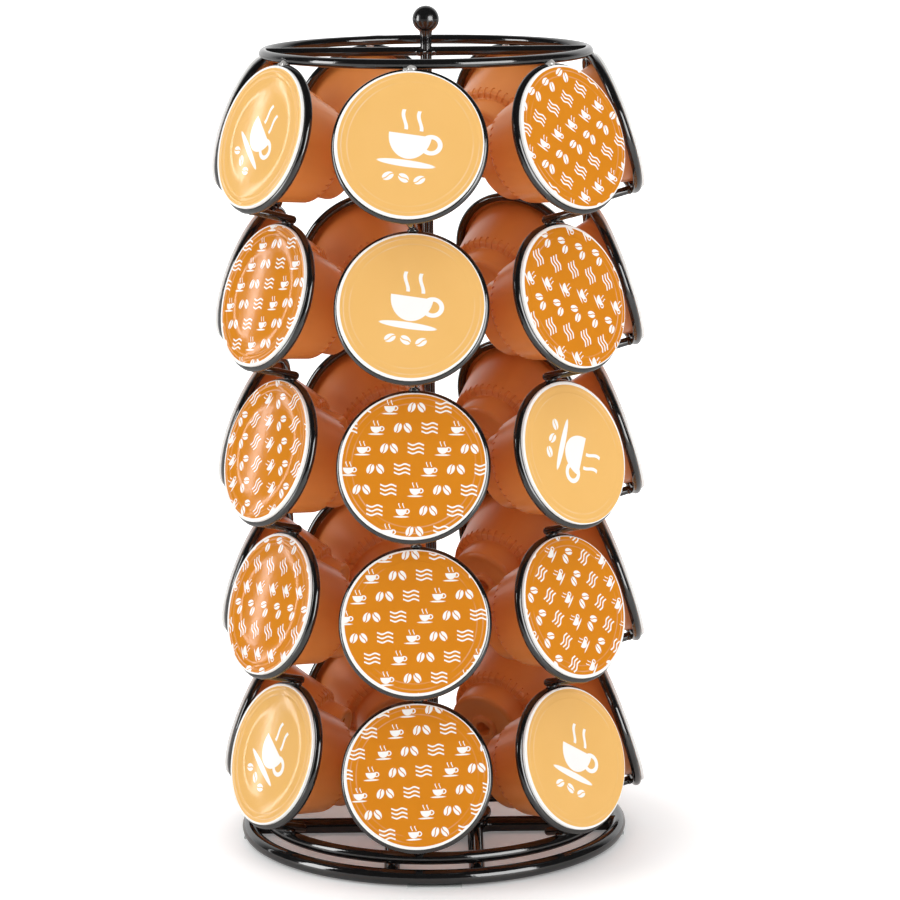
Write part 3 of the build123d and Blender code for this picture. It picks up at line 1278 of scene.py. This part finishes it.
@dataclass(frozen=True)
class Base:
    """The base that stands still: floor ring, rods, plate, bush, washer and pads."""

    radius: float = 70.504
    wire: float = 5.8
    height: float = 3.3
    rod_setback: float = 4.7
    leg: float = 15.6
    bend: float = 7.0
    bend_steps: int = 14
    rod_inset: float = 1.2
    side_weld_inset: float = 3.3
    front_weld_inset: float = 5.0
    rod_weld: Sizes = (1.5, 3.4, 3.0)
    weld_seeds: tuple[int, int] = (6, 7)
    seam: float = 2.6
    pad_size: Sizes = (4.0, 20.0, 0.4)
    pad_rows: int = 14
    pad_groove: float = 0.1
    pad_count: int = 4
    plate_outline: Outline = (
        (4.05, 6.17), (21.4, 6.17), (22.0, 6.4, 0.4), (22.0, 7.3, 0.6), (21.2, 7.66, 0.6), (12.0, 7.66),
        (11.2, 7.3, 0.4), (9.4, 7.3, 0.4), (8.6, 7.66), (4.05, 7.66), (4.05, 6.17),
    )
    bush_outline: Outline = (
        (2.15, 2.35), (3.6, 2.35), (4.0, 2.8, 0.3), (4.0, 7.71), (7.0, 7.71, 0.2), (7.0, 8.71, 0.35),
        (2.6, 8.71), (2.15, 8.3), (2.15, 2.35),
    )
    washer_outline: Outline = (
        (2.25, 8.77), (5.96, 8.77, 0.12), (5.96, 9.36, 0.12), (2.25, 9.36), (2.25, 8.77),
    )

    def bent_rod(self, name: str) -> bpy.types.Object:
        """The right-hand rod: in from the ring's side, round its bend and out to the ring's front.

        Args:
            name: the rod's name.

        Returns:
            The rod.
        """
        reach, corner = self.radius - self.rod_inset, self.leg + self.bend
        front = (reach ** 2 - self.leg ** 2) ** 0.5
        piece = started(name, bpy.ops.mesh.primitive_circle_add, vertices=WIRE_SIDES, radius=self.wire / 2,
                        fill_type="NGON", location=(reach, -self.rod_setback, self.height),
                        rotation=(0, -pi / 2, 0))
        with shaping(piece):
            bpy.ops.mesh.select_all(action="SELECT")
            bpy.ops.mesh.extrude_region_move(TRANSFORM_OT_translate={"value": (corner - reach, 0, 0)})
            bpy.ops.mesh.spin(steps=self.bend_steps, angle=-pi / 2, axis=(0, 0, 1),
                              center=(corner, -self.rod_setback - self.bend, self.height))
            bpy.ops.mesh.extrude_region_move(
                TRANSFORM_OT_translate={"value": (0, self.rod_setback + self.bend - front, 0)})
            bpy.ops.mesh.select_all(action="SELECT")
            bpy.ops.mesh.remove_doubles(threshold=MERGE)
            bpy.ops.mesh.normals_make_consistent(inside=False)
        ends = (((self.radius - self.side_weld_inset, -self.rod_setback, self.height), 0.0),
                ((self.leg, self.front_weld_inset - self.radius, self.height), pi / 2))
        beads = [bead("rod_weld", Vector(middle), self.rod_weld, Matrix.Rotation(turn, 3, "Z"), seed)
                 for (middle, turn), seed in zip(ends, self.weld_seeds)]
        return joined(name, [piece, *beads])

    def pad(self) -> bpy.types.Object:
        """One clear pad at +X, ribbed across its top.

        Returns:
            The pad.
        """
        _, length, thickness = self.pad_size
        row = length / self.pad_rows
        piece = started("pad", bpy.ops.mesh.primitive_cube_add, size=1.0, scale=self.pad_size,
                        location=(self.radius, 0, thickness / 2))

        def on_top(middle: Vector, normal: Vector) -> bool:
            """Whether a face is on the pad's top."""
            return normal.z > FACING

        def in_groove(middle: Vector, normal: Vector) -> bool:
            """Whether a face is in every second row of the top."""
            return on_top(middle, normal) and int((middle.y + length) / row) % 2 == 0

        with shaping(piece):
            pick_faces(piece, on_top)
            bpy.ops.mesh.subdivide(number_cuts=self.pad_rows - 1)
            pick_faces(piece, in_groove)
            bpy.ops.mesh.inset(thickness=self.pad_groove, depth=-self.pad_groove)
        return piece

    def build(self, enamel: bpy.types.Material, plastic: bpy.types.Material, steel: bpy.types.Material,
              clear: bpy.types.Material) -> None:
        """Builds and dresses the base.

        Args:
            enamel: the wires' and plate's finish.
            plastic: the bush's finish.
            steel: the washer's finish.
            clear: the pads' finish.
        """
        dressing = Dressing(enamel, "base", "black_wire")
        ring = hoop("floor_hoop", self.radius, self.wire, self.height, seam=self.seam, sides=224)
        dressing.on(ring, "floor_ring")
        right = self.bent_rod("floor_rod_right")
        left = copied("floor_rod_left", right, Matrix.Scale(-1, 4, Vector((1, 0, 0))))
        with shaping(left):
            bpy.ops.mesh.select_all(action="SELECT")
            bpy.ops.mesh.normals_make_consistent(inside=False)
        dressing.on(right, "base_rod_right")
        dressing.on(left, "base_rod_left")
        dressing.on(turned("plate", self.plate_outline, steps=96), "pivot_plate")
        bush = turned("bush", self.bush_outline, steps=64)
        washer = turned("washer", self.washer_outline, steps=64)
        Dressing(plastic, "base", "bush_plastic").on(bush, "pivot_bush")
        Dressing(steel, "base", "spring_steel").on(washer, "thrust_washer")
        first = self.pad()
        turns = [Matrix.Rotation(k * tau / self.pad_count, 4, "Z") for k in range(self.pad_count)]
        pads = joined("pads", [copied(f"pad_{k}", first, turn) for k, turn in enumerate(turns)])
        put_away(first)
        Dressing(clear, "base", "clear_pad").on(pads, "foot_pads")


# The studio


@dataclass(frozen=True)
class Softbox:
    """A soft lamp."""

    name: str
    place: tuple[float, float, float]
    aim: tuple[float, float, float]
    wide: float
    high: float
    power: float
    lean: float = 0.0
    mirrored: bool = True
    lights: bool = True

    def hang(self) -> None:
        """Hangs the lamp."""
        lamp = bpy.data.lights.new(self.name, "AREA")
        lamp.shape, lamp.size, lamp.size_y, lamp.energy = "RECTANGLE", self.wide, self.high, self.power
        holder = bpy.data.objects.new(self.name, lamp)
        bpy.context.scene.collection.objects.link(holder)
        holder.location = self.place
        holder.visible_glossy, holder.visible_diffuse = self.mirrored, self.lights
        aimed = (Vector(self.aim) - Vector(self.place)).to_track_quat("-Z", "Y").to_matrix()
        holder.rotation_euler = (aimed @ Matrix.Rotation(radians(self.lean), 3, "Z")).to_euler()


@dataclass(frozen=True)
class Studio:
    """Floor, lamps, surroundings and camera."""

    camera_place: tuple[float, float, float] = (0.0, -1.2893, 0.3965)
    pitch: float = 0.1902
    yaw: float = 0.0058
    roll: float = -0.0093
    focal: float = 3488.8
    image: float = 900.0
    sensor: float = 36.0
    clip: tuple[float, float] = (0.05, 50.0)
    pale: Colour = (0.94, 0.94, 0.94, 1.0)
    pale_in_gloss: Colour = (0.72, 0.71, 0.7, 1.0)
    floor_size: float = 12.0
    floor_roughness: float = 0.55
    # The floor's camera-ray glow is weakest within this radius of a middle a little to the right of the base:
    # a painted shadow.
    shadow_middle: float = 0.018
    shadow_radius: float = 0.072
    shadow_fade: float = 12.0
    glow: tuple[float, float] = (0.13, 0.5)
    light_rise: tuple[float, ...] = (-0.2, 0.6, 0.84, 1.3)
    gloss_rise: tuple[float, ...] = (0.45, 0.75, 0.03, 1.0)
    lamps: tuple[Softbox, ...] = (
        Softbox("left_box", (-1.15, -0.33, 0.42), (0, 0, 0.15), 0.4, 1.0, 3.2, mirrored=False),
        Softbox("right_box", (0.87, -0.97, 0.42), (0, 0, 0.15), 0.6, 0.95, 3.9, mirrored=False),
        Softbox("left_gloss", (-1.15, -0.33, 0.35), (0, 0, 0.15), 0.4, 0.9, 8.5, lights=False),
        Softbox("right_gloss", (0.87, -0.97, 0.40), (0, 0, 0.15), 0.9, 0.95, 16.0, lights=False),
        Softbox("over_box", (0.0, -0.2, 1.7), (0, 0, 0.1), 1.2, 0.9, 1.1, mirrored=False),
        Softbox("window", (-1.49, 0.65, 0.40), (-0.058, -0.0385, 0.155), 0.02, 0.75, 0.26, lean=17.5),
    )

    def floor(self) -> None:
        """A pale floor that shows the shadow and a painted shadow round the base, and meets the background
        without an edge.
        """
        floor = started("floor", bpy.ops.mesh.primitive_plane_add, size=self.floor_size)
        mixer = Mixer("floor")
        path = mixer.node("ShaderNodeLightPath")
        ray = Signal(mixer, path.outputs["Is Camera Ray"])
        pale = mixer.blend(self.pale, self.pale_in_gloss, path.outputs["Is Glossy Ray"])
        split = mixer.node("ShaderNodeSeparateXYZ", inputs={0: mixer.place()})
        x, y = Signal(mixer, split.outputs[0]) - self.shadow_middle, Signal(mixer, split.outputs[1])
        # Less glow near the base is a painted shadow; further out the glow whitens the floor into the
        # background.
        away = (((x * x + y * y).root() - self.shadow_radius) * self.shadow_fade).clamped()
        least, more = self.glow
        glow = mixer.blend((0.0, 0.0, 0.0, 1.0), (1.0, 1.0, 1.0, 1.0), (away * more + least) * ray)
        floor.data.materials.append(mixer.finish(
            Base_Color=pale,
            Roughness=self.floor_roughness,
            Emission_Color=glow,
            Emission_Strength=1.0,
        ))

    def surroundings(self) -> None:
        """A white background, with plain light from all sides and a darker front for gloss to mirror."""
        world = bpy.data.worlds.new("surroundings")
        bpy.context.scene.world = world
        world.use_nodes = True
        nodes = Nodes(world.node_tree)
        nodes.tree.nodes.clear()
        path = nodes.node("ShaderNodeLightPath").outputs
        where = nodes.node("ShaderNodeTexCoord").outputs["Generated"]
        depth = nodes.node("ShaderNodeSeparateXYZ", inputs={0: where}).outputs["Y"]
        strengths = [1.0]
        for rise in (self.light_rise, self.gloss_rise):
            ends = dict(zip(("From Min", "From Max", "To Min", "To Max"), rise))
            strengths.append(nodes.node("ShaderNodeMapRange", inputs={"Value": depth, **ends}).outputs[0])
        white, even, gloss = (
            nodes.node("ShaderNodeBackground", inputs={0: (1.0, 1.0, 1.0, 1.0), 1: strength}).outputs[0]
            for strength in strengths
        )
        lit = nodes.node("ShaderNodeMixShader", inputs={0: path["Is Glossy Ray"], 1: even, 2: gloss})
        seen = nodes.node("ShaderNodeMixShader",
                          inputs={0: path["Is Camera Ray"], 1: lit.outputs[0], 2: white})
        nodes.node("ShaderNodeOutputWorld", inputs={0: seen.outputs[0]})

    def camera(self) -> None:
        """The camera, at the photograph's place and angle."""
        ahead = Vector((sin(self.yaw) * cos(self.pitch), cos(self.yaw) * cos(self.pitch), -sin(self.pitch)))
        level = Vector((cos(self.yaw), -sin(self.yaw), 0))
        over = level.cross(ahead)
        right = level * cos(self.roll) + over * sin(self.roll)
        up = over * cos(self.roll) - level * sin(self.roll)
        data = bpy.data.cameras.new("camera")
        data.sensor_width, data.lens = self.sensor, self.focal / self.image * self.sensor
        data.clip_start, data.clip_end = self.clip
        holder = bpy.data.objects.new("camera", data)
        bpy.context.scene.collection.objects.link(holder)
        turn = Matrix((right, up, -ahead)).transposed().to_4x4()
        holder.matrix_world = Matrix.Translation(self.camera_place) @ turn
        bpy.context.scene.camera = holder

    def build(self) -> None:
        """Sets up the studio."""
        bpy.context.scene.view_settings.view_transform = "Standard"
        self.floor()
        self.surroundings()
        for lamp in self.lamps:
            lamp.hang()
        self.camera()


def main() -> None:
    """Builds the dressed model and the studio."""
    logging.basicConfig(level=logging.INFO, format="%(name)s: %(message)s")
    enamel = Enamel().material()
    soft = Enamel("black_enamel_soft", roughness=0.17, waves=0.02).material()
    # The welds at the top are black enamel; these pale greys are a painted glint on them.
    painted_weld_glint = Enamel("weld_painted_glint", srgb(146, 143, 140), srgb(205, 203, 200), waves=0.1, index=2.4).material()
    terracotta = MouldedPlastic("capsule_plastic", srgb(232, 143, 73), srgb(221, 130, 60), 0.25).material()
    nylon = MouldedPlastic("bush_plastic", srgb(232, 231, 226), srgb(222, 221, 214), 0.45).material()
    steel, clear = Steel().material(), ClearPad().material()
    foils = {
        Design.EMBLEM: PrintedFoil(Design.EMBLEM, srgb(240, 190, 115), srgb(236, 184, 106)).material(),
        Design.PATTERN: PrintedFoil(Design.PATTERN, srgb(217, 136, 34), srgb(212, 129, 28)).material(),
    }
    cage = Cage()
    RingColumn(cage).build(enamel)
    Capsules(cage).build(terracotta, foils)
    TopFrame(cage).build(enamel, painted_weld_glint)
    PostAndKnob().build(enamel, soft, steel)
    BottomFrame().build(enamel)
    Base().build(enamel, nylon, steel, clear)
    Studio().build()


if __name__ == "__main__":
    main()
